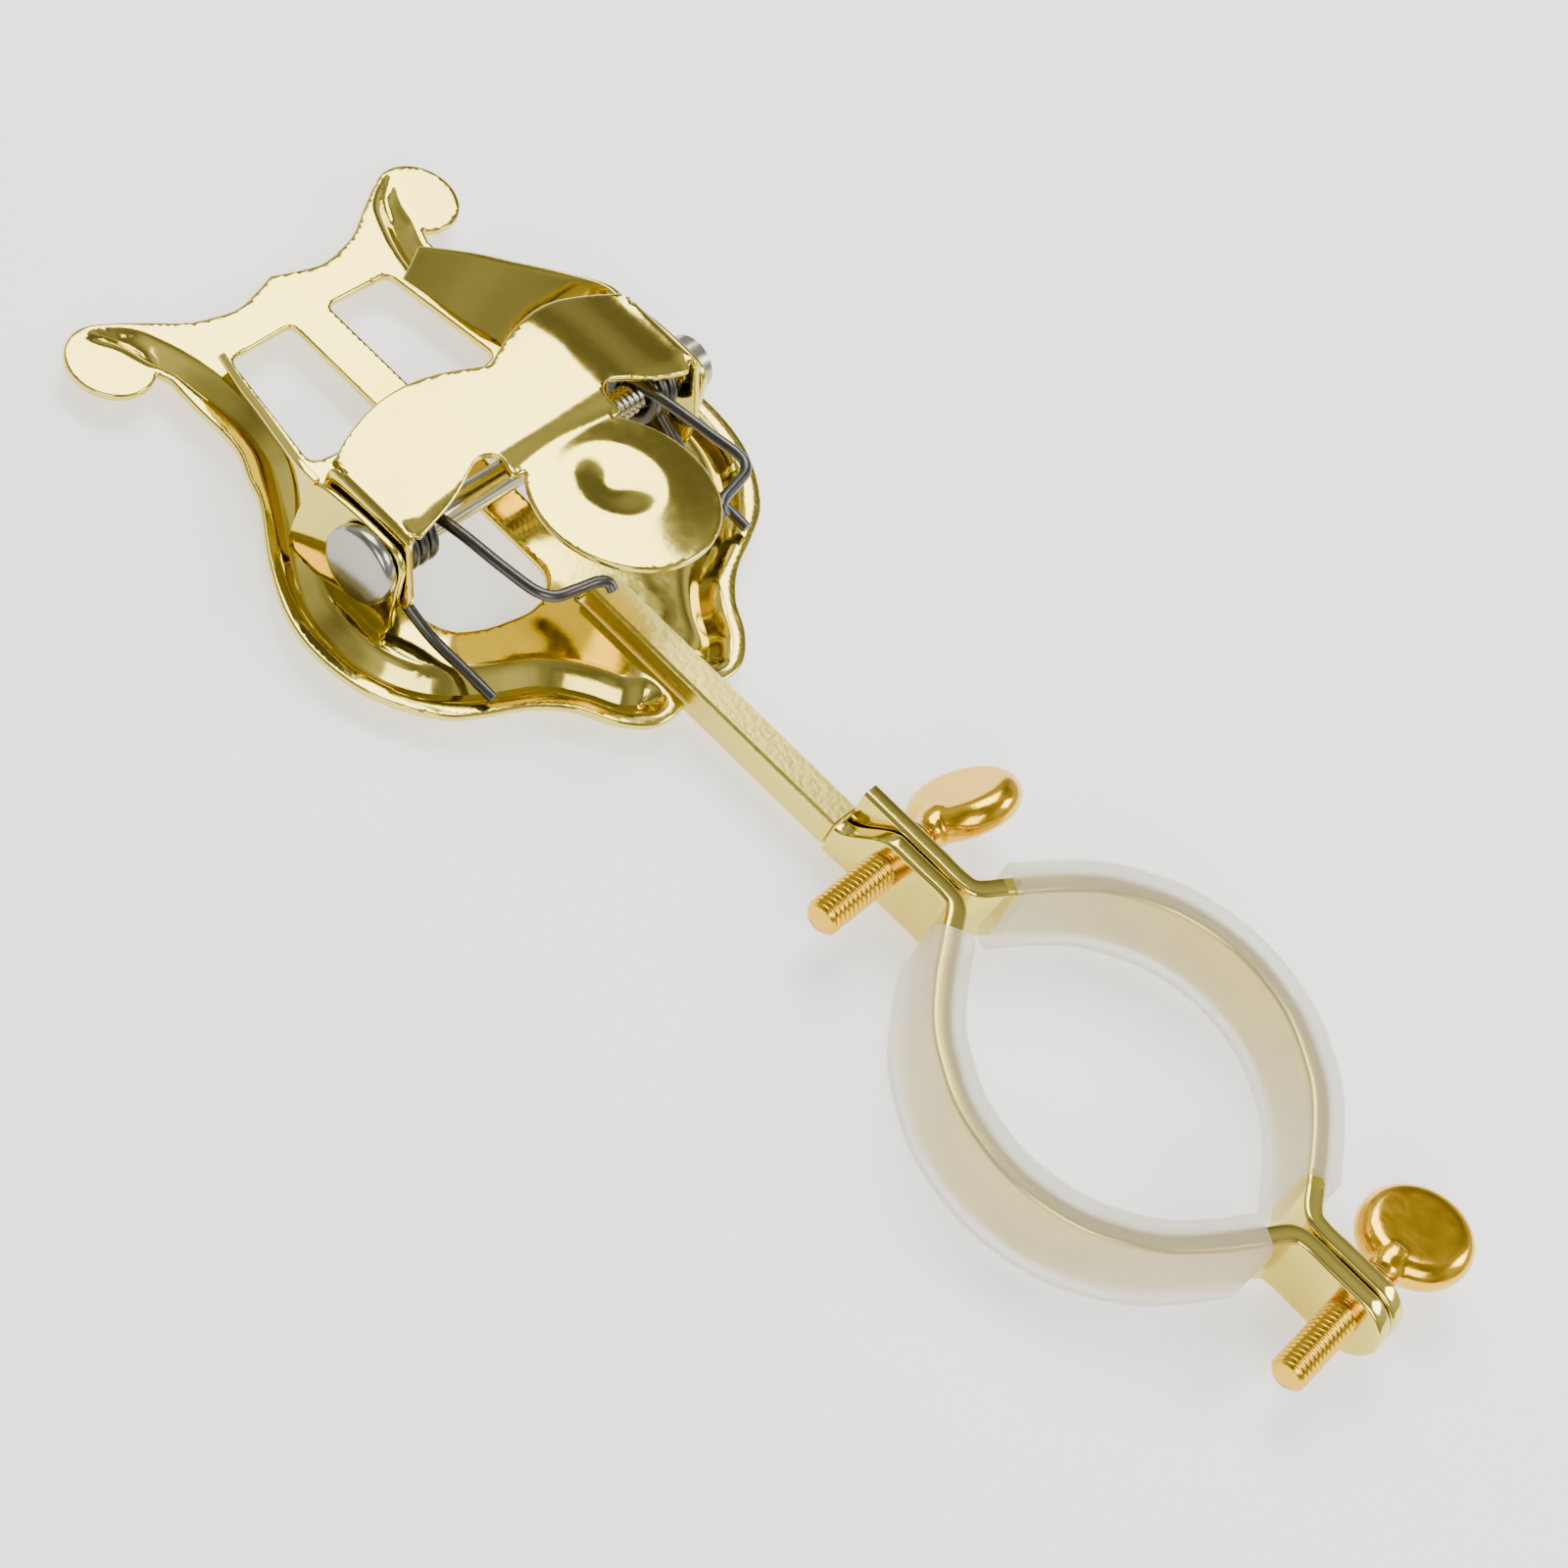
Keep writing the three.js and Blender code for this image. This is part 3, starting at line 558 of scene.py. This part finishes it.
# ---------- thumb screws ----------
for nm, y, turn, body in (("upper_thumb_screw", 31.3, -0.84, "upper_screw"), ("lower_thumb_screw", -31.7, -0.21, "lower_screw")):
    leaf = 2.65
    neck = lathe_x([(leaf, 0), (leaf, 2.75), (leaf + 0.15, 2.9), (leaf + 0.9, 2.9), (leaf + 1.3, 2.5), (leaf + 1.9, 1.95), (leaf + 3.0, 1.85), (leaf + 4.2, 2.2), (leaf + 5.4, 2.3), (leaf + 6.4, 0)], 40)
    edge = [(-2, 0), (-2, 4.2)] + [(-2 * math.cos(a * math.pi / 16), 4.3 + 1.95 * math.sin(a * math.pi / 16)) for a in range(1, 16)] + [(2, 4.2), (2, 0)]
    pv, pf = lathe_x(edge, 64)
    M = Matrix.Rotation(turn, 3, "X") @ Matrix.Rotation(math.pi / 2, 3, "Y")
    pv = [tuple(M @ Vector(p) + Vector((leaf + 9.45, 0, 0))) for p in pv]
    v, f = join(neck, (pv, pf))
    me = from_py([(a, b + y, c) for a, b, c in v], f, nm)
    o = link(me, nm + "_fine", SCREWG, None)
    q = o.modifiers.new("r", "REMESH"); q.mode = "VOXEL"; q.voxel_size = 0.2 * MM; q.use_smooth_shade = True
    q = o.modifiers.new("s", "SMOOTH"); q.factor = 0.5; q.iterations = 7
    bake(o)
    tv, tf = threaded(-12.3, leaf + 0.5, 2.0, 0.38, 0.7)
    m2 = from_py([(a, b + y, c) for a, b, c in tv], tf, nm + "t")
    bm = bmesh.new(); bm.from_mesh(o.data); bm.from_mesh(m2); bm.to_mesh(o.data); bm.free()
    o.data.polygons.foreach_set("use_smooth", [True] * len(o.data.polygons))
    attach(o, body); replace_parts(o, nm)

# ---------- stage, light, camera ----------
lo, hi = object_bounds()
bm = bmesh.new(); bmesh.ops.create_grid(bm, x_segments=4, y_segments=4, size=1.5)
me = bpy.data.meshes.new("floor"); bm.to_mesh(me); bm.free()
floor = bpy.data.objects.new("floor", me); bpy.context.scene.collection.objects.link(floor)
floor.location.z = min(lo[2], CAD_BOX[0][2]) - 0.0005
fm = bpy.data.materials.new("pale_floor"); fm.use_nodes = True
fb = fm.node_tree.nodes["Principled BSDF"]; fb.inputs["Base Color"].default_value = (0.93, 0.93, 0.93, 1); fb.inputs["Roughness"].default_value = 0.9
fb.inputs["Emission Color"].default_value = (1, 1, 1, 1); fb.inputs["Emission Strength"].default_value = 0.9
me.materials.append(fm); floor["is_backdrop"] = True

w = bpy.data.worlds.new("studio"); bpy.context.scene.world = w; w.use_nodes = True
N = w.node_tree.nodes; L = w.node_tree.links
tc = N.new("ShaderNodeTexCoord"); nz = N.new("ShaderNodeTexNoise"); nz.inputs["Scale"].default_value = 1.6; nz.inputs["Detail"].default_value = 1
L.new(tc.outputs["Generated"], nz.inputs["Vector"])
cr = N.new("ShaderNodeValToRGB"); cr.color_ramp.elements[0].position = 0.30; cr.color_ramp.elements[1].position = 0.66
cr.color_ramp.elements[0].color = (0.24, 0.23, 0.20, 1); cr.color_ramp.elements[1].color = (1, 1, 1, 1)
L.new(nz.outputs["Fac"], cr.inputs["Fac"]); L.new(cr.outputs["Color"], N["Background"].inputs["Color"])
N["Background"].inputs["Strength"].default_value = 0.72


def area(loc, target, size, power):
    l = bpy.data.lights.new("soft", "AREA"); l.energy = power; l.size = size
    o = bpy.data.objects.new("soft", l); bpy.context.scene.collection.objects.link(o)
    o.location = loc; o.rotation_euler = (Vector(target) - Vector(loc)).to_track_quat("-Z", "Y").to_euler()


area((0.25, 0.35, 0.6), (0, 0.03, 0), 0.45, 5)
area((-0.5, -0.35, 0.55), (0, 0.03, 0), 0.5, 4)
area((0.5, -0.4, 0.5), (0, 0, 0), 0.3, 3)

cam = bpy.data.cameras.new("cam"); co = bpy.data.objects.new("cam", cam); bpy.context.scene.collection.objects.link(co)
Rr = Vector((0.6172820694, -0.7046000990, 0.3500022103)); Dn = Vector((-0.4660649206, -0.6859093482, -0.5588486878)); Fw = Vector((0.6338346287, 0.1818435222, -0.7517889311))
co.matrix_world = Matrix.Translation(Vector((-0.22968095, -0.08527483 + 0.0647, 0.27138647 - 0.0024))) @ Matrix((Rr, -Dn, -Fw)).transposed().to_4x4()
cam.lens = 81.264; cam.sensor_width = 36
cam.clip_start = 0.01
bpy.context.scene.camera = co

lo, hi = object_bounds()
